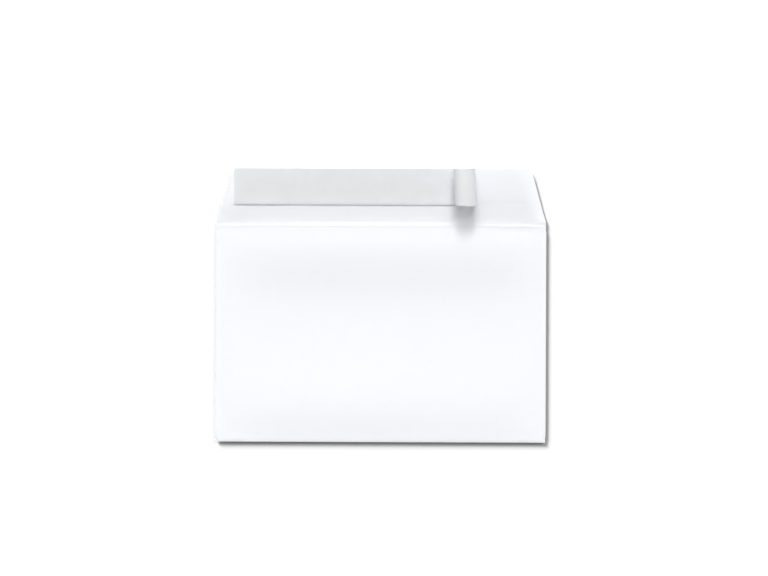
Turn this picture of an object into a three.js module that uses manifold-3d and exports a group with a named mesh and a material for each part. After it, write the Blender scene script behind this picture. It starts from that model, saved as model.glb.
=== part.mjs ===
// Self-seal booklet envelope of white paper, lying on its front panel with the seal flap open.
// The paper is one blank: a front panel, a back panel folded up over it at the bottom edge, two
// side flaps folded in and glued under the back panel, and the seal flap above the pocket's throat.
// A band of adhesive lies on the flap under its release liner, which is peeled and curled at one end.
// Millimetres: +X along the envelope, +Y towards the flap, +Z up.

import * as THREE from 'three';
import { mergeVertices } from 'three/addons/utils/BufferGeometryUtils.js';
import Module from 'manifold-3d';

// Paper and folds
const envelopeLength = 228.6;
const envelopeHeight = 152.4;
const paperThickness = 0.14;
const foldInnerRadius = 0.12;
const throatDrop = 2.8;

// Pillow of the empty pocket: its edges stand off the table, and up its middle the back panel swells over
// the bottom fold, lies hollow, climbs to a ridge and dips again to the throat. Each slope has its height,
// its middle (from the bottom fold, or a drop below the throat) and its reach to each side.
const edgeLift = 1.4;
const edgeMargin = 45;
const backMargin = 50;
const footRise = 2;
const footMiddle = 9;
const footReach = 14;
const hollowDepth = 0.7;
const hollowMiddle = 46;
const hollowReach = 22;
const ridgeRise = 2.9;
const ridgeDrop = 34;
const ridgeReach = 18;
const throatDip = 0.3;
const dipDrop = 8.5;
const dipReach = 5;

// Side flaps, glued under the back panel
const seamWidth = 19;
const seamInset = 1.2;
const seamEndGap = 3;
const seamEndTaper = 7;
const seamLap = 1;

// Seal flap, rising from its crease in an even bend that flattens to the tip; its sides are cut to a taper,
// and the left one starts with a shoulder and sways on its way in
const flapBareDepth = 11.9;
const flapTaperRight = 10.2;
const flapTaperLeft = 11.8;
const flapShoulder = 1.4;
const flapShoulderReach = 0.5;
const flapSway = 1.1;
const flapCornerRadius = 3.5;
const flapCreaseAngle = THREE.MathUtils.degToRad(8.8);
const flapTipAngle = THREE.MathUtils.degToRad(2.5);

// Adhesive band and release liner, laid flush with the flap's tip
const linerWidth = 25;
const linerThickness = 0.08;
const linerEndInset = 0.5;
const linerOverhang = 1.5;
const adhesiveThickness = 0.06;
const layerGap = 0.02;

// Curl of the peeled end, rolled about a line that leans out of square into a tube that tilts back; towards
// the flap's tip, its lower rim climbs turn by turn and its upper rim slides out and, at the end, back in
const peeledLength = 45.7;
const curlRadius = 7.5;
const curlTurnGap = 0.75;
const curlLean = THREE.MathUtils.degToRad(2.6);
const curlTilt = THREE.MathUtils.degToRad(10);
const curlClimb = 2.8;
const curlSlide = 1.2;

// Mesh steps
const columnSteps = 18;
const panelSteps = 14;
const foldSteps = 6;
const bareSteps = 4;
const linerSteps = 6;
const cornerSteps = 5;
const curlSteps = 44;

const wasm = await Module();
wasm.setup();

function evenSteps(from, to, count) {
  return Array.from({ length: count + 1 }, (_, i) => from + ((to - from) * i) / count);
}

// Steps that close up towards both ends, where a panel curves most
function easedSteps(from, to, count) {
  return evenSteps(0, Math.PI, count).map((turn) => from + ((to - from) * (1 - Math.cos(turn))) / 2);
}

// Leaves only the shared corners of a closed geometry
function welded(geometry) {
  geometry.deleteAttribute('normal');
  geometry.deleteAttribute('uv');
  return mergeVertices(geometry);
}

// A closed sheet on a grid of columns and rows, whose place function sets each corner;
// side is -1 on the sheet's lower face and +1 on its upper face
function sheet(columns, rows, place) {
  const geometry = welded(new THREE.BoxGeometry(1, 1, 1, columns.length - 1, rows.length - 1, 1));
  const corners = geometry.attributes.position;
  for (let i = 0; i < corners.count; i += 1) {
    const column = columns[Math.round((corners.getX(i) + 0.5) * (columns.length - 1))];
    const row = rows[Math.round((corners.getY(i) + 0.5) * (rows.length - 1))];
    const side = corners.getZ(i) * 2;
    corners.setXYZ(i, ...place(column, row, side));
  }
  return geometry;
}

function solidOf(geometry) {
  const vertProperties = new Float32Array(geometry.attributes.position.array);
  const triVerts = new Uint32Array(geometry.index.array);
  return new wasm.Manifold(new wasm.Mesh({ numProp: 3, vertProperties, triVerts }));
}

function geometryOf(solid) {
  const mesh = solid.getMesh();
  const geometry = new THREE.BufferGeometry();
  geometry.setAttribute('position', new THREE.Float32BufferAttribute(mesh.vertProperties, 3));
  geometry.setIndex(new THREE.Uint32BufferAttribute(mesh.triVerts, 1));
  return geometry;
}

// Folds: the side fold wraps one layer, and the bottom fold wraps the side flaps as well
const halfPaper = paperThickness / 2;
const seamBond = 0.4 * paperThickness;
const sideFoldRadius = foldInnerRadius + halfPaper;
const bottomFoldRadius = sideFoldRadius + (paperThickness - seamBond) / 2;
const panelHalfLength = envelopeLength / 2 - sideFoldRadius - halfPaper;
const backHalfLength = panelHalfLength - seamInset;
const panelBottom = bottomFoldRadius + halfPaper;
const throatEdge = envelopeHeight - throatDrop;
const frontEdgeHeight = halfPaper + edgeLift;
const backEdgeHeight = frontEdgeHeight + 2 * bottomFoldRadius;

// Rises from 0 at a folded edge to 1 at a margin's width from it
function swell(fromEdge, margin) {
  const near = Math.max(0, 1 - Math.max(fromEdge, 0) / margin);
  return 1 - near ** 2;
}

// Heights of the panels' middle surfaces
function frontHeight(x, y) {
  const ends = swell(panelHalfLength - Math.abs(x), edgeMargin);
  const rest = ends * swell(y - panelBottom, edgeMargin) * swell(envelopeHeight - y, edgeMargin);
  return frontEdgeHeight - edgeLift * rest;
}

// Climbs from 0 at the bottom fold to about 1, most steeply at a middle height
function climb(up, middle, reach) {
  return (Math.tanh((up - middle) / reach) + Math.tanh(middle / reach)) / 2;
}

function backHeight(x, y) {
  const up = y - panelBottom;
  const throatUp = throatEdge - panelBottom;
  const rise =
    footRise * climb(up, footMiddle, footReach) -
    hollowDepth * climb(up, hollowMiddle, hollowReach) +
    ridgeRise * climb(up, throatUp - ridgeDrop, ridgeReach) -
    throatDip * climb(up, throatUp - dipDrop, dipReach);
  return backEdgeHeight + rise * swell(backHalfLength - Math.abs(x), backMargin);
}

// A point of the flap at a distance along it from the crease and a height off its middle surface
const flapDepth = flapBareDepth + linerWidth;
const bendRadius = flapDepth / (flapCreaseAngle - flapTipAngle);

function flapPoint(x, along, off) {
  const angle = flapCreaseAngle - along / bendRadius;
  const arcY = bendRadius * (Math.sin(flapCreaseAngle) - Math.sin(angle));
  const arcZ = bendRadius * (Math.cos(angle) - Math.cos(flapCreaseAngle));
  return [
    x,
    envelopeHeight + arcY - off * Math.sin(angle),
    frontEdgeHeight + arcZ + off * Math.cos(angle),
  ];
}

function flapHalfLength(along, hand) {
  const share = along / flapDepth;
  const intoCorner = Math.max(0, along - flapDepth + flapCornerRadius);
  const corner = flapCornerRadius - Math.sqrt(flapCornerRadius ** 2 - intoCorner ** 2);
  const uncut = panelHalfLength - corner;
  if (hand > 0) {
    return uncut - flapTaperRight * share;
  }
  const shoulder = flapShoulder * Math.min(1, along / flapShoulderReach);
  const sway = flapSway * Math.sin(2 * Math.PI * share);
  return uncut - shoulder - (flapTaperLeft - flapShoulder) * share + sway;
}

// The strip of the blank, row by row: from the throat's edge down the back panel, round the bottom
// fold, up the front panel and out along the flap; its upper face is the pocket's inside
const panelColumns = easedSteps(-1, 1, columnSteps);
const backRows = easedSteps(panelBottom, throatEdge, panelSteps);
const frontRows = easedSteps(panelBottom, envelopeHeight, panelSteps).slice(0, -1);
const cornerRows = evenSteps(0, Math.PI / 2, cornerSteps).map(
  (turn) => flapDepth - flapCornerRadius * (1 - Math.sin(turn)),
);
const linerRows = [
  ...evenSteps(flapBareDepth, flapDepth - flapCornerRadius, linerSteps).slice(0, -1),
  ...cornerRows,
];
const flapRows = [0, ...evenSteps(flapShoulderReach, flapBareDepth, bareSteps).slice(0, -1), ...linerRows];

const backPart = backRows.toReversed().map((y) => (share, side) => {
  const x = share * backHalfLength;
  return [x, y, backHeight(x, y) - side * halfPaper];
});

const bottomFoldPart = evenSteps(0, Math.PI, foldSteps).slice(1, -1).map((turn) => (share, side) => {
  const narrowing = seamInset * (1 - turn / Math.PI);
  const radius = bottomFoldRadius - side * halfPaper;
  return [
    share * (panelHalfLength - narrowing),
    panelBottom - radius * Math.sin(turn),
    frontEdgeHeight + bottomFoldRadius + radius * Math.cos(turn),
  ];
});

const frontPart = frontRows.map((y) => (share, side) => {
  const x = share * panelHalfLength;
  return [x, y, frontHeight(x, y) + side * halfPaper];
});

const flapPart = flapRows.map((along) => (share, side) => {
  const x = share * flapHalfLength(along, Math.sign(share));
  return flapPoint(x, along, side * halfPaper);
});

const strip = sheet(
  panelColumns,
  [...backPart, ...bottomFoldPart, ...frontPart, ...flapPart],
  (share, row, side) => row(share, side),
);

// A side flap runs from a lap inside the front panel's edge, round the side fold and in under the
// back panel, and is then cut to its tapered outline; hand is 1 at the right end and -1 at the left
const lapShare = 0.6;
const outlineMargin = 1;

function sideFlap(hand) {
  const lapPart = [panelHalfLength - seamLap, panelHalfLength].map((x) => (y, side) => [
    x,
    frontHeight(x, y) + side * halfPaper * lapShare,
  ]);
  const foldPart = evenSteps(0, Math.PI, foldSteps).slice(1).map((turn) => (y, side) => {
    const radius = sideFoldRadius - side * halfPaper;
    return [
      panelHalfLength + radius * Math.sin(turn),
      frontEdgeHeight + sideFoldRadius - radius * Math.cos(turn),
    ];
  });
  const gluedPart = panelColumns.filter((share) => share >= 0).reverse().map((share) => (y, side) => {
    const x = share * backHalfLength;
    return [x, backHeight(x, y) - paperThickness + seamBond - side * halfPaper];
  });
  const heights = hand > 0 ? backRows.toReversed() : backRows;
  const folded = sheet(heights, [...lapPart, ...foldPart, ...gluedPart], (y, part, side) => {
    const [x, z] = part(y, side);
    return [hand * x, y, z];
  });

  const outer = envelopeLength / 2 + outlineMargin;
  const inner = envelopeLength / 2 - seamWidth;
  const bottom = panelBottom + seamEndGap;
  const top = throatEdge - seamEndGap;
  const outline = new THREE.Shape([
    new THREE.Vector2(hand * outer, bottom),
    new THREE.Vector2(hand * outer, top),
    new THREE.Vector2(hand * inner, top - seamEndTaper),
    new THREE.Vector2(hand * inner, bottom + seamEndTaper),
  ]);
  const depth = backEdgeHeight + footRise + ridgeRise + outlineMargin;
  const cutter = welded(new THREE.ExtrudeGeometry(outline, { depth, bevelEnabled: false }));
  return solidOf(folded).intersect(solidOf(cutter));
}

const envelope = geometryOf(solidOf(strip).add(sideFlap(1)).add(sideFlap(-1)));

// Adhesive band, a little smaller than the liner on every side; the flap, the band and the liner bend
// at the same rows, so they lie flat on each other
const linerLeft = flapTaperLeft - panelHalfLength + linerEndInset;
const linerRight = panelHalfLength - flapTaperRight - linerEndInset;
const adhesiveOff = halfPaper + layerGap + adhesiveThickness / 2;
const adhesiveFoot = flapBareDepth + linerOverhang;
const adhesiveHead = flapDepth - linerOverhang;
const coveredRows = linerRows.filter((along) => along > adhesiveFoot && along < adhesiveHead);
const adhesiveStrip = sheet(
  [linerLeft + linerOverhang, linerRight - linerOverhang],
  [adhesiveFoot, ...coveredRows, adhesiveHead],
  (x, along, side) => flapPoint(x, along, adhesiveOff + (side * adhesiveThickness) / 2),
);

// Release liner: flat on the adhesive as far as the peel line, then rolled up and back over itself
// in a spiral, whose angle follows from the length of liner that is past the peel line
const linerOff = adhesiveOff + adhesiveThickness / 2 + layerGap + linerThickness / 2;
const peelLine = linerRight - peeledLength;
const linerMiddle = flapDepth - linerWidth / 2;
const radiusLoss = curlTurnGap / (2 * Math.PI);

function linerPoint(x, along, side) {
  const peelHere = peelLine + (linerMiddle - along) * Math.tan(curlLean);
  const past = Math.max(0, x - peelHere);
  if (past === 0) {
    return flapPoint(x, along, linerOff + (side * linerThickness) / 2);
  }
  const turn = (curlRadius - Math.sqrt(curlRadius ** 2 - 2 * radiusLoss * past)) / radiusLoss;
  const radius = curlRadius - radiusLoss * turn - (side * linerThickness) / 2;
  const lowerRim = (curlClimb * turn) / (2 * Math.PI);
  const slideTurn = Math.min(turn, Math.PI / 2, Math.abs(2 * Math.PI - turn));
  const upperRim = curlSlide * Math.sin(slideTurn) ** 2;
  const moved = along + THREE.MathUtils.lerp(lowerRim, upperRim, (along - flapBareDepth) / linerWidth);
  const [footX, footY, footZ] = flapPoint(peelHere + radius * Math.sin(turn), moved, linerOff);
  const rise = curlRadius - radius * Math.cos(turn);
  return [footX, footY - rise * Math.sin(curlTilt), footZ + rise * Math.cos(curlTilt)];
}

const peelStart = peelLine - (linerWidth / 2) * Math.tan(curlLean);
const releaseLiner = sheet(
  [linerLeft, ...evenSteps(peelStart, linerRight, curlSteps)],
  linerRows,
  linerPoint,
);

// Scene: the origin is under the middle of the whole part, on the table
const whitePaper = new THREE.MeshStandardMaterial({ color: 0xf8f9fb, roughness: 0.85, metalness: 0 });
const clearAdhesive = new THREE.MeshStandardMaterial({ color: 0xf3f1e8, roughness: 0.25, metalness: 0 });
const linerPaper = new THREE.MeshStandardMaterial({ color: 0xe3e4e5, roughness: 0.5, metalness: 0 });

const pieces = [
  ['envelope', envelope, whitePaper],
  ['adhesive_strip', adhesiveStrip, clearAdhesive],
  ['release_liner', releaseLiner, linerPaper],
];

const selfSealEnvelope = new THREE.Group();
for (const [name, geometry, material] of pieces) {
  geometry.computeVertexNormals();
  const mesh = new THREE.Mesh(geometry, material);
  mesh.name = name;
  selfSealEnvelope.add(mesh);
}
const extent = new THREE.Box3().setFromObject(selfSealEnvelope);
const middle = extent.getCenter(new THREE.Vector3());
selfSealEnvelope.position.set(-middle.x, -middle.y, -extent.min.z);

export default selfSealEnvelope;
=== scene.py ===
# Self-seal booklet envelope of white paper, lying on its front panel with the seal flap open and the
# release liner partly peeled. Sizes are millimetres from the bottom fold's outer line and the table.
import math

import bpy
import numpy as np
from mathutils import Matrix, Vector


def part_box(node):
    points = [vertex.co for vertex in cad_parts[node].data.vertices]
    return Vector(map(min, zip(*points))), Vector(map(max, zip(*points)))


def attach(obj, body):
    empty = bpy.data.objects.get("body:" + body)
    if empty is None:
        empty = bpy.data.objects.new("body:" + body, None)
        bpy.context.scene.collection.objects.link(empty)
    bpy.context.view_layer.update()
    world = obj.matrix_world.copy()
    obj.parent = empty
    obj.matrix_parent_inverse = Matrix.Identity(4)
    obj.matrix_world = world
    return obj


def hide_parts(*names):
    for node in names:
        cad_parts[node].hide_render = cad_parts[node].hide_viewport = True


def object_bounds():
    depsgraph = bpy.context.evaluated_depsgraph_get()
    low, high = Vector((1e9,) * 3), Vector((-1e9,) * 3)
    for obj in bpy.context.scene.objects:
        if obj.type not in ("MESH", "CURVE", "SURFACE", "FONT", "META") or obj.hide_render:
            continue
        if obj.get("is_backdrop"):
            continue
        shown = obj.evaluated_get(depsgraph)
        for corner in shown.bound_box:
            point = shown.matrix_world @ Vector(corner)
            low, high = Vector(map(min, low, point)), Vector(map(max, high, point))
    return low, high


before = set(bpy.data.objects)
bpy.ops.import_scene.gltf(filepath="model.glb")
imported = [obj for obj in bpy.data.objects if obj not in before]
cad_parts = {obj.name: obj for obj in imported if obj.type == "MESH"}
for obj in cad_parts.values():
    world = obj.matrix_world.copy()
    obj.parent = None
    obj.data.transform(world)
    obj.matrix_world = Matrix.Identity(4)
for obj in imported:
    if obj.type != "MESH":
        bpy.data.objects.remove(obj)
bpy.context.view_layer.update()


# Envelope blank: one die-cut sheet of white wove paper, scored and folded by machine. The back panel
# folds up over the front panel at the bottom edge, the side flaps fold in and are gummed under the
# back panel, and the seal flap opens above the throat.
mm = 0.001
bottom_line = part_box("envelope")[0].y

blank_length = 228.6
blank_height = 152.4
paper = 0.14
side_fold = 0.19
bottom_fold = 0.232
throat_drop = 2.8

panel_half = blank_length / 2 - side_fold - paper / 2
seam_inset = 1.2
back_half = panel_half - seam_inset
panel_bottom = bottom_fold + paper / 2
throat = blank_height - throat_drop

# The empty pocket is a low pillow: its edges stand off the table and the back panel gapes at the throat
edge_lift = 1.4
edge_margin = 45
back_margin = 50
front_edge = paper / 2 + edge_lift
back_edge = front_edge + 2 * bottom_fold


def swell(from_edge, margin):
    """Rises from 0 at a folded edge to 1 at a margin's width from it."""
    near = np.clip(1 - np.maximum(from_edge, 0) / margin, 0, 1)
    return 1 - near**2


# Damp leaves slow waves in paper: trains of them that cross at uneven angles, each longer than the last
wave_trains = 5
first_angle = 0.7
angle_step = 2.4
length_step = 0.17
shift_step = 1.9
usual_peak = 3


def cockle(x, y, wave):
    """The wave trains together, about -1 to 1, the shortest a given length from crest to crest."""
    total = 0
    for k in range(wave_trains):
        angle = first_angle + angle_step * k
        crossing = x * math.cos(angle) + y * math.sin(angle)
        total = total + np.sin(2 * math.pi * crossing / (wave * (1 + length_step * k)) + shift_step * k)
    return total / usual_peak


# The score leaves a shallow valley along the middle of the crease, and the crease's ends spring up
score_depth = 0.04
score_reach = 3
spring_start = 40
spring_length = 50
spring_share = 6


def score(x, from_crease):
    """How far paper near the crease lies below its plain height, or above it where it springs up."""
    sprung = spring_share * np.clip((np.abs(x) - spring_start) / spring_length, 0, 1)
    return score_depth * (1 - sprung) * np.clip(1 - from_crease / score_reach, 0, 1) ** 2


def front_height(x, y):
    ends = swell(panel_half - np.abs(x), edge_margin)
    rest = ends * swell(y - panel_bottom, edge_margin) * swell(blank_height - y, edge_margin)
    return front_edge - edge_lift * rest - score(x, blank_height - y)


# The edge of each gummed side flap shows through the back panel as a faint step
seam_width = 19
seam_step = 0.05
seam_softness = 0.35
seam_line = blank_length / 2 - seam_width

# Up the middle the back panel bulges over the bottom fold, lies hollow, climbs to a ridge and dips again
# to the throat: each step is its height, the middle of its slope and the slope's half length
steps = ((2, 9, 14), (-0.7, 46, 22), (2.9, throat - 34, 18), (-0.3, throat - 8.5, 5))
cockle_height = 0.06
cockle_wave = 62
cockle_margin = 25

# A shallow buckle lies under each end of the throat, given by its middle, half length and depth
buckles = ((97, 14, 0.2), (-100, 9, 0.1))
buckle_drop = 3.5
buckle_reach = 3
buckle_margin = 6

# The cut edge of the throat flares up a little, half as much again at the right
lip_flare = 0.08
lip_reach = 1.6
lip_margin = 8
right_flare = 0.5
right_start = 40
right_length = 40


def back_height(x, y):
    rise = sum(
        height * (np.tanh((y - middle) / half) + np.tanh(middle / half)) / 2
        for height, middle, half in steps
    )
    seam = seam_step / (1 + np.exp((seam_line - np.abs(x)) / seam_softness))
    waves = cockle_height * cockle(x, y, cockle_wave) * swell(y - panel_bottom, cockle_margin)
    from_side = back_half - np.abs(x)
    lift = (rise + seam + waves) * swell(from_side, back_margin)
    from_throat = throat - y
    valley = np.exp(-(((from_throat - buckle_drop) / buckle_reach) ** 2)) * swell(from_side, buckle_margin)
    for middle, half, depth in buckles:
        lift = lift - depth * valley * np.exp(-(((x - middle) / half) ** 2))
    more = 1 + right_flare * np.clip((x - right_start) / right_length, 0, 1)
    flare = lip_flare * more * swell(from_side, lip_margin)
    return back_edge + lift + flare * np.clip(1 - from_throat / lip_reach, 0, 1) ** 2


# The seal flap rises from the crease and flattens in an even bend towards its tip
flap_bare = 11.9
liner_width = 25
flap_depth = flap_bare + liner_width
flap_taper_right = 10.2
flap_taper_left = 11.8
flap_shoulder = 1.4
shoulder_reach = 0.5
flap_sway = 1.1
flap_corner = 3.5
crease_angle = math.radians(8.8)
tip_angle = math.radians(2.5)
bend_radius = flap_depth / (crease_angle - tip_angle)

# Near its sides the flap loses a share of its rise and sags as well, less at the left than at the right
droop_reach = 12
flap_droop = 0.8
flap_sag = 0.9
sag_start = 6
left_droop = 0.35


def flap_half(along, hand):
    """Half length of the flap to its left or right, and what the rounded corner takes off it.
    The left side has a shoulder and sways on its way in."""
    share = along / flap_depth
    into_corner = np.clip(along - flap_depth + flap_corner, 0, flap_corner)
    corner = flap_corner - np.sqrt(flap_corner**2 - into_corner**2)
    right = flap_taper_right * share
    shoulder = flap_shoulder * np.clip(along / shoulder_reach, 0, 1)
    left = shoulder + (flap_taper_left - flap_shoulder) * share
    left = left - flap_sway * np.sin(2 * math.pi * share)
    return panel_half - np.where(hand < 0, left, right), corner


def flap_point(x, along, off):
    """A point at a given way along the flap from the crease, and off the middle of its paper."""
    from_side = np.clip((flap_half(along, x)[0] - np.abs(x)) / droop_reach, 0, 1)
    near_side = (1 - from_side) ** 2 * np.where(x < 0, left_droop, 1)
    angle = crease_angle - along / bend_radius
    rise_y = bend_radius * (math.sin(crease_angle) - np.sin(angle))
    bent_up = bend_radius * (np.cos(angle) - math.cos(crease_angle)) * (1 - flap_droop * near_side)
    scored = score(x, 0) * (1 - along / flap_depth)
    sag = flap_sag * near_side * np.clip(along / sag_start, 0, 1)
    rise_z = bent_up - scored - sag
    y = blank_height + rise_y - off * np.sin(angle)
    z = front_edge + rise_z + off * np.cos(angle)
    return np.stack(np.broadcast_arrays(x, y, z), axis=-1)


# The strip's rows run down the back panel, round the bottom fold, up the front panel and out the flap.
# Its columns and rows lie closer at the seams, the throat's lip, the crease and the flap's corners.
seam_share = seam_line / back_half
seam_spread = 0.014
seam_columns = seam_share + np.linspace(-seam_spread, seam_spread, 9)
columns = np.unique(np.concatenate([np.linspace(-1, 1, 117), seam_columns, -seam_columns]).round(6))

lip_end = throat - 2
mouth_end = throat - 15
back_rows = np.concatenate([
    np.linspace(throat, lip_end, 9)[:-1],
    np.linspace(lip_end, mouth_end, 20)[:-1],
    np.linspace(mouth_end, panel_bottom, 70),
])
x, y = np.meshgrid(columns * back_half, back_rows)
back_panel = np.stack([x, y, back_height(x, y)], axis=-1)

share, turn = np.meshgrid(columns, np.linspace(0, math.pi, 13)[1:-1])
bottom_edge = np.stack([
    share * (panel_half - seam_inset * (1 - turn / math.pi)),
    panel_bottom - bottom_fold * np.sin(turn),
    front_edge + bottom_fold + bottom_fold * np.cos(turn),
], axis=-1)

crease_rows = blank_height - np.linspace(score_reach, 0, 9)
front_rows = np.concatenate([np.linspace(panel_bottom, blank_height - score_reach, 62)[:-1], crease_rows])
x, y = np.meshgrid(columns * panel_half, front_rows)
front_panel = np.stack([x, y, front_height(x, y)], axis=-1)

corner_rows = flap_depth - flap_corner * (1 - np.sin(np.linspace(0, math.pi / 2, 9)))
flap_rows = np.concatenate([
    np.linspace(0, score_reach, 9)[1:-1],
    np.linspace(score_reach, flap_bare, 9)[:-1],
    np.linspace(flap_bare, flap_depth - flap_corner, 18)[:-1],
    corner_rows,
])
share, along = np.meshgrid(columns, flap_rows)
side, corner = flap_half(along, share)
seal_flap = flap_point(share * (side - corner), along, 0)

cut_edge = math.radians(40)


def thick_sheet(middle, thickness):
    """Corners and faces of a closed sheet of a given thickness about a grid of middle points."""
    rows, cols = middle.shape[:2]
    normal = np.cross(np.gradient(middle, axis=1), np.gradient(middle, axis=0))
    normal /= np.linalg.norm(normal, axis=-1, keepdims=True)
    offset = normal * np.asarray(thickness)[..., None] / 2
    corners = np.concatenate([(middle + offset).reshape(-1, 3), (middle - offset).reshape(-1, 3)])
    grid = np.arange(rows * cols).reshape(rows, cols)
    quads = np.stack([grid[:-1, :-1], grid[:-1, 1:], grid[1:, 1:], grid[1:, :-1]], axis=-1)
    quads = quads.reshape(-1, 4)
    border = np.concatenate([grid[0], grid[1:, -1], grid[-1, -2::-1], grid[-2:0:-1, 0]])
    ahead = np.roll(border, -1)
    rim = np.stack([ahead, border, border + rows * cols, ahead + rows * cols], axis=-1)
    return corners, np.concatenate([quads, quads[:, ::-1] + rows * cols, rim])


def make_piece(name, sheets, material):
    """A smooth-shaded mesh object of one or more closed sheets, in the row's frame."""
    corners, faces, count = [], [], 0
    for sheet_corners, sheet_faces in sheets:
        corners.append(sheet_corners)
        faces.append(sheet_faces + count)
        count += len(sheet_corners)
    placed = np.concatenate(corners) * mm + [0, bottom_line, 0]
    mesh = bpy.data.meshes.new(name)
    mesh.from_pydata(placed.tolist(), [], np.concatenate(faces).tolist())
    mesh.shade_smooth()
    mesh.set_sharp_from_angle(angle=cut_edge)
    mesh.materials.append(material)
    piece = bpy.data.objects.new(name, mesh)
    bpy.context.scene.collection.objects.link(piece)
    return piece


# A side flap turns up round the side fold and lies gummed to the back panel, cut to a taper at its ends
seam_end_gap = 3
seam_end_taper = 7
taper_lead = 1
seam_bond = 0.056
turns = np.linspace(0, math.pi, 11)
fold_x = panel_half + side_fold * np.sin(turns)
fold_z = front_edge + side_fold * (1 - np.cos(turns))
glued_x = np.linspace(panel_half, seam_line, 24)[1:]
across = np.concatenate([fold_x, glued_x])
inward = seam_end_taper * (blank_length / 2 + taper_lead - across) / (seam_width + taper_lead)
low = panel_bottom + seam_end_gap + inward
high = throat - seam_end_gap - inward
y = low + (high - low) * np.linspace(0, 1, 90)[:, None]
x = np.broadcast_to(across, y.shape)
side_flaps = []
for hand in (-1, 1):
    glued_z = back_height(hand * glued_x, y[:, len(turns):]) - paper + seam_bond
    z = np.concatenate([np.broadcast_to(fold_z, (len(y), len(turns))), glued_z], axis=1)
    side_flaps.append(thick_sheet(np.stack([hand * x, y, z], axis=-1), paper))


def srgb(code):
    """Linear colour of an sRGB hex value."""
    shares = [(code >> shift & 255) / 255 for shift in (16, 8, 0)]
    return [s / 12.92 if s <= 0.04045 else ((s + 0.055) / 1.055) ** 2.4 for s in shares] + [1]


def add_node(tree, kind, settings=None, inputs=None):
    """Adds a node, sets its properties, and fills each named input with a value or a link."""
    node = tree.nodes.new(kind)
    for name, value in (settings or {}).items():
        setattr(node, name, value)
    for name, value in (inputs or {}).items():
        if isinstance(value, bpy.types.NodeSocket):
            tree.links.new(value, node.inputs[name])
        else:
            node.inputs[name].default_value = value
    return node


# White wove paper, uncoated and machine finished: a matt, faintly blue white with soft clouds where the
# fibres lie thicker, and a fine fibre grain along the web. The grain is drawn about twice its real size.
cloud_size = 7 * mm
fibre_length = 3 * mm
fibre_width = 0.7 * mm
wove = bpy.data.materials.new("white_wove_paper_uncoated")
wove.use_nodes = True
tree = wove.node_tree
tree.nodes.clear()
place = add_node(tree, "ShaderNodeTexCoord").outputs["Object"]
cloud = add_node(tree, "ShaderNodeTexNoise", inputs={
    "Vector": place, "Scale": 1 / cloud_size, "Detail": 3, "Roughness": 0.55})
web = add_node(tree, "ShaderNodeMapping", inputs={
    "Vector": place, "Scale": (1 / fibre_length, 1 / fibre_width, 1 / fibre_width)})
fibre = add_node(tree, "ShaderNodeTexNoise", inputs={
    "Vector": web.outputs["Vector"], "Scale": 1, "Detail": 4, "Roughness": 0.6})
tint = add_node(tree, "ShaderNodeMix", {"data_type": "RGBA"}, {
    "Factor": cloud.outputs["Fac"], "A": srgb(0xF5F7FB), "B": srgb(0xF9FBFE)})
tooth = add_node(tree, "ShaderNodeMapRange", inputs={
    "Value": fibre.outputs["Fac"], "From Min": 0.3, "From Max": 0.7, "To Min": 0.8, "To Max": 0.92})
clouds_up = add_node(tree, "ShaderNodeBump", inputs={
    "Height": cloud.outputs["Fac"], "Strength": 0.12, "Distance": 0.1 * mm})
grain_up = add_node(tree, "ShaderNodeBump", inputs={
    "Height": fibre.outputs["Fac"], "Strength": 0.2, "Distance": 0.05 * mm,
    "Normal": clouds_up.outputs["Normal"]})
skin = add_node(tree, "ShaderNodeBsdfPrincipled", inputs={
    "Base Color": tint.outputs["Result"], "Roughness": tooth.outputs["Result"],
    "Normal": grain_up.outputs["Normal"], "IOR": 1.5, "Specular IOR Level": 0.25})
add_node(tree, "ShaderNodeOutputMaterial", inputs={"Surface": skin.outputs["BSDF"]})

strip = np.concatenate([back_panel, bottom_edge, front_panel, seal_flap])
blank = make_piece("envelope_blank", [thick_sheet(strip, paper), *side_flaps], wove)
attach(blank, "root")
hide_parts("envelope")


# Adhesive band: a clear pressure-sensitive film, coated on the inside of the seal flap in one pass. It
# shows bare only where the liner has been peeled back, and it thins out towards its edges.
liner_inset = 0.5
liner_left = flap_taper_left - panel_half + liner_inset
liner_right = panel_half - flap_taper_right - liner_inset
liner_overhang = 1.5
adhesive = 0.06
layer_gap = 0.02
feather = 1.2
feather_edge = 0.1


def edged(start, end, count):
    """Even steps from edge to edge, with close steps where both edges thin or turn."""
    close = np.linspace(0, feather, 5)[:-1]
    between = np.linspace(start + feather, end - feather, count)
    return np.concatenate([start + close, between, end - close[::-1]])


film_x = edged(liner_left + liner_overhang, liner_right - liner_overhang, 150)
film_along = edged(flap_bare + liner_overhang, flap_depth - liner_overhang, 18)
x, along = np.meshgrid(film_x, film_along)
from_ends = np.minimum(x - film_x[0], film_x[-1] - x)
from_sides = np.minimum(along - film_along[0], film_along[-1] - along)
inside = np.minimum(from_ends, from_sides)
film_thickness = adhesive * (feather_edge + (1 - feather_edge) * np.clip(inside / feather, 0, 1))
film = flap_point(x, along, paper / 2 + layer_gap + film_thickness / 2)

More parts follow.
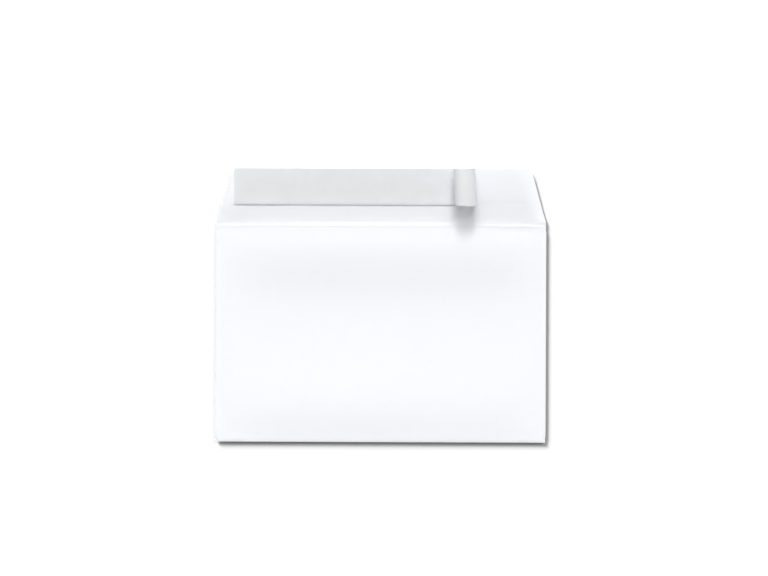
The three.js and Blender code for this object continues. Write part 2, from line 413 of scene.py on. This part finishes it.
# Clear acrylic adhesive over white paper, slot coated: the paper shows through a hair darker, under a
# glossy skin with long coating streaks and a slight orange peel.
streak_length = 40 * mm
streak_width = 1.6 * mm
peel_size = 2 * mm
tack = bpy.data.materials.new("clear_acrylic_adhesive_coated")
tack.use_nodes = True
tree = tack.node_tree
tree.nodes.clear()
place = add_node(tree, "ShaderNodeTexCoord").outputs["Object"]
run = add_node(tree, "ShaderNodeMapping", inputs={
    "Vector": place, "Scale": (1 / streak_length, 1 / streak_width, 1 / streak_length)})
streak = add_node(tree, "ShaderNodeTexNoise", inputs={
    "Vector": run.outputs["Vector"], "Scale": 1, "Detail": 2})
peel = add_node(tree, "ShaderNodeTexNoise", inputs={
    "Vector": place, "Scale": 1 / peel_size, "Detail": 1})
through = add_node(tree, "ShaderNodeMix", {"data_type": "RGBA"}, {
    "Factor": streak.outputs["Fac"], "A": srgb(0xF5F7FB), "B": srgb(0xF8FAFE)})
streaks_up = add_node(tree, "ShaderNodeBump", inputs={
    "Height": streak.outputs["Fac"], "Strength": 0.1, "Distance": 0.05 * mm})
peel_up = add_node(tree, "ShaderNodeBump", inputs={
    "Height": peel.outputs["Fac"], "Strength": 0.15, "Distance": 0.05 * mm,
    "Normal": streaks_up.outputs["Normal"]})
skin = add_node(tree, "ShaderNodeBsdfPrincipled", inputs={
    "Base Color": through.outputs["Result"], "Roughness": 0.3,
    "Normal": peel_up.outputs["Normal"], "IOR": 1.47})
add_node(tree, "ShaderNodeOutputMaterial", inputs={"Surface": skin.outputs["BSDF"]})

band = make_piece("adhesive_band", [thick_sheet(film, film_thickness)], tack)
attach(band, "root")
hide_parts("adhesive_strip")


# Release liner: a slit strip of silicone-coated paper laid over the adhesive, flush with the flap's tip.
# Its right end has been peeled and has rolled up and back over itself, and its lower edge lifts in waves.
liner = 0.08
adhesive_off = paper / 2 + layer_gap + adhesive / 2
liner_off = adhesive_off + adhesive / 2 + layer_gap + liner / 2
liner_middle = flap_depth - liner_width / 2

# The lower edge stands up in a low bulge that turns down again at the cut, and fine ripples cross the strip
edge_curl = 0.6
edge_reach = 9
edge_bend = 0.5
bend_reach = 2.2
edge_wave = 34
edge_mean = 0.8
edge_swing = 0.2
edge_least = 0.3
ripple_height = 0.03
ripple_wave = 9
ripple_stretch = 6
held_margin = 14

# The curl rolls about a line that leans out of square and tilts back. Turn by turn it tightens, its lower
# rim climbs, less after a quarter turn, and its upper rim slides out and back. It flares to its lower end.
peeled = 45.7
peel_line = liner_right - peeled
peel_lead = 2
curl_radius = 7.5
curl_turn_gap = 0.75
radius_loss = curl_turn_gap / (2 * math.pi)
curl_lean = math.radians(3.4)
curl_tilt = math.radians(10)
curl_climb = 2.8
climb_loss = 0.7
curl_slide = 1.2
curl_flare = 0.5
rim_turn = 0.7
rim_reach = 0.7


def liner_point(x, along):
    """A point of the strip, laid on the adhesive or, past the peel line, rolled into the curl."""
    from_edge = along - flap_bare
    peel_here = peel_line + (liner_middle - along) * math.tan(curl_lean)
    past = np.maximum(0, x - peel_here)
    turn = (curl_radius - np.sqrt(curl_radius**2 - 2 * radius_loss * past)) / radius_loss
    begun = np.clip(turn, 0, 1)
    turned_in = rim_turn * np.clip(1 - from_edge / rim_reach, 0, 1) ** 2 * begun
    flared = curl_flare * np.clip(1 - from_edge / liner_width, 0, 1) * begun
    radius = curl_radius + flared - radius_loss * turn - turned_in

    held = swell(peel_here - x, held_margin)
    lifted = edge_curl * np.clip(edge_mean + edge_swing * cockle(x, 0 * x, edge_wave), edge_least, 1)
    bent_down = edge_bend * np.clip(1 - from_edge / bend_reach, 0, 1) ** 2
    near_edge = np.clip(1 - from_edge / edge_reach, 0, 1) ** 2 * (1 - bent_down)
    ripple = ripple_height * np.maximum(0, 1 + cockle(x / ripple_stretch, along, ripple_wave)) * held

    climbing = turn - climb_loss * np.maximum(turn - math.pi / 2, 0)
    lower_rim = curl_climb * climbing / (2 * math.pi)
    slide_turn = np.minimum(np.minimum(turn, math.pi / 2), np.abs(2 * math.pi - turn))
    upper_rim = curl_slide * np.sin(slide_turn) ** 2
    slid = lower_rim + (upper_rim - lower_rim) * from_edge / liner_width

    rolled_x = np.where(past > 0, peel_here + radius * np.sin(turn), x)
    foot = flap_point(rolled_x, along + slid, liner_off + lifted * near_edge * held + ripple)
    rise = curl_radius - radius * np.cos(turn)
    return foot + rise[..., None] * [0, -math.sin(curl_tilt), math.cos(curl_tilt)]


laid_x = np.linspace(liner_left, peel_line - peel_lead, 130)[:-1]
curled_x = np.linspace(peel_line - peel_lead, liner_right, 110)
x, along = np.meshgrid(np.concatenate([laid_x, curled_x]), edged(flap_bare, flap_depth, 26))
peeled_strip = liner_point(x, along)

# Silicone-coated bleached kraft, supercalendered: a pale neutral grey with a satin skin, faint mottle
# from the fibres and fine lines along the strip from the calender.
mottle_size = 9 * mm
line_length = 30 * mm
line_width = 1.2 * mm
release = bpy.data.materials.new("silicone_coated_release_paper")
release.use_nodes = True
tree = release.node_tree
tree.nodes.clear()
place = add_node(tree, "ShaderNodeTexCoord").outputs["Object"]
mottle = add_node(tree, "ShaderNodeTexNoise", inputs={
    "Vector": place, "Scale": 1 / mottle_size, "Detail": 4, "Roughness": 0.6})
roll = add_node(tree, "ShaderNodeMapping", inputs={
    "Vector": place, "Scale": (1 / line_length, 1 / line_width, 1 / line_length)})
line = add_node(tree, "ShaderNodeTexNoise", inputs={
    "Vector": roll.outputs["Vector"], "Scale": 1, "Detail": 3})
grey = add_node(tree, "ShaderNodeMix", {"data_type": "RGBA"}, {
    "Factor": mottle.outputs["Fac"], "A": srgb(0xE2E4E6), "B": srgb(0xECEEF0)})
satin = add_node(tree, "ShaderNodeMapRange", inputs={
    "Value": line.outputs["Fac"], "From Min": 0.3, "From Max": 0.7, "To Min": 0.4, "To Max": 0.52})
lines_up = add_node(tree, "ShaderNodeBump", inputs={
    "Height": line.outputs["Fac"], "Strength": 0.08, "Distance": 0.05 * mm})
skin = add_node(tree, "ShaderNodeBsdfPrincipled", inputs={
    "Base Color": grey.outputs["Result"], "Roughness": satin.outputs["Result"],
    "Normal": lines_up.outputs["Normal"], "IOR": 1.43, "Specular IOR Level": 0.2})
add_node(tree, "ShaderNodeOutputMaterial", inputs={"Surface": skin.outputs["BSDF"]})

# The face that lay against the adhesive carries the silicone and is glossier, and it is the outside of the
# curl. Its paler grey is painted sheen that lightens the whole curl.
coated = release.copy()
coated.name = "silicone_face_with_painted_sheen"
# painted sheen: a paler grey on the silicone face, so that the curl reads lighter than the laid strip
coated.node_tree.nodes["Mix"].inputs["A"].default_value = srgb(0xE9EBED)
coated.node_tree.nodes["Principled BSDF"].inputs["Specular IOR Level"].default_value = 0.5
backing = make_piece("release_liner_strip", [thick_sheet(peeled_strip, liner)], release)
backing.data.materials.append(coated)
quads = (peeled_strip.shape[0] - 1) * (peeled_strip.shape[1] - 1)
for face in backing.data.polygons[quads:2 * quads]:
    face.material_index = 1
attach(backing, "root")
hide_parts("release_liner")


# Studio: a pale table that keeps the shadow, five soft windows beyond the flap for the paper, two lamps
# for the table, a sky that is brighter beyond the flap and a little to the left, a white surround for the
# eye and for reflections, and a camera that looks straight down on the pocket.
table_reach = 4
table_drop = 0.02 * mm
floor_mesh = bpy.data.meshes.new("table")
floor_mesh.from_pydata([
    (-table_reach, -table_reach, -table_drop), (table_reach, -table_reach, -table_drop),
    (table_reach, table_reach, -table_drop), (-table_reach, table_reach, -table_drop),
], [], [(0, 1, 2, 3)])
floor = bpy.data.objects.new("table", floor_mesh)
bpy.context.scene.collection.objects.link(floor)

# Matt card in a pale grey, which the table's own lamps bring to white
white = bpy.data.materials.new("white_table")
white.use_nodes = True
tree = white.node_tree
tree.nodes.clear()
matt = add_node(tree, "ShaderNodeBsdfDiffuse", inputs={"Color": srgb(0xB0B0B0)})
add_node(tree, "ShaderNodeOutputMaterial", inputs={"Surface": matt.outputs["BSDF"]})
floor_mesh.materials.append(white)
floor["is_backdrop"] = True

# The sky's light grows evenly along a line that leans from straight up
sky_lean = (-0.22, 0.55, 1)
sky_top = 1.16
sky_least = 0.05
sky_most = 1.08
surround = bpy.data.worlds.new("white_surround")
surround.use_nodes = True
tree = surround.node_tree
tree.nodes.clear()
rays = add_node(tree, "ShaderNodeLightPath")
way = add_node(tree, "ShaderNodeTexCoord").outputs["Generated"]
up = add_node(tree, "ShaderNodeVectorMath", {"operation": "DOT_PRODUCT"}, {0: way, 1: sky_lean})
soft = add_node(tree, "ShaderNodeMapRange", inputs={
    "Value": up.outputs["Value"], "From Max": sky_top, "To Min": sky_least, "To Max": sky_most})
mirrored = add_node(tree, "ShaderNodeMath", {"operation": "MAXIMUM"}, {
    0: rays.outputs["Is Glossy Ray"], 1: rays.outputs["Is Transmission Ray"]})
shown = add_node(tree, "ShaderNodeMath", {"operation": "MAXIMUM"}, {
    0: rays.outputs["Is Camera Ray"], 1: mirrored.outputs["Value"]})
level = add_node(tree, "ShaderNodeMix", inputs={
    "Factor": shown.outputs["Value"], "A": soft.outputs["Result"], "B": 1.0})
even = add_node(tree, "ShaderNodeBackground", inputs={"Strength": level.outputs["Result"]})
add_node(tree, "ShaderNodeOutputWorld", inputs={"Surface": even.outputs["Background"]})
bpy.context.scene.world = surround

# A lamp's strength is its share of the light on a level sheet. Its side is in degrees to the right of the
# flap's way, then come its height above the table and its spread. Windows light the paper alone, and the
# other two lamps the table alone.
table_only = bpy.data.collections.new("table_only")
table_only.objects.link(floor)
paper_only = bpy.data.collections.new("paper_only")
for piece in (blank, band, backing):
    paper_only.objects.link(piece)
for name, share, side, height, spread in (
    ("window_1", 0.03, -26, 58, 12),
    ("window_2", 0.09, -12, 37, 12),
    ("window_3", 0.2, 1, 30, 12),
    ("window_4", 0.09, 14, 37, 12),
    ("window_5", 0.085, 28, 58, 12),
    ("table_lamp", 1.55, -39, 23, 22),
    ("table_fill", 0.29, 52, 36, 12),
):
    lamp_data = bpy.data.lights.new(name, "SUN")
    lamp_data.angle = math.radians(spread)
    lamp_data.energy = share * math.pi / math.sin(math.radians(height))
    lamp = bpy.data.objects.new(name, lamp_data)
    lamp.rotation_euler = (math.radians(height - 90), 0, math.radians(-side))
    bpy.context.scene.collection.objects.link(lamp)
    lamp.light_linking.receiver_collection = table_only if name.startswith("table") else paper_only

camera_height = 2.0
frame_width = 531.5 * mm
focus_level = 2 * mm
aim_right = 2.12 * mm
aim_up = 106.75 * mm
camera_roll = math.radians(0.22)
lens = bpy.data.cameras.new("camera")
lens.lens = lens.sensor_width * (camera_height - focus_level) / frame_width
lens.clip_end = 20
camera = bpy.data.objects.new("camera", lens)
camera.location = (aim_right, bottom_line + aim_up, camera_height)
camera.rotation_euler = (0, 0, camera_roll)
bpy.context.scene.collection.objects.link(camera)
bpy.context.scene.camera = camera
bpy.context.scene.view_settings.view_transform = "Standard"

low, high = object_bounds()
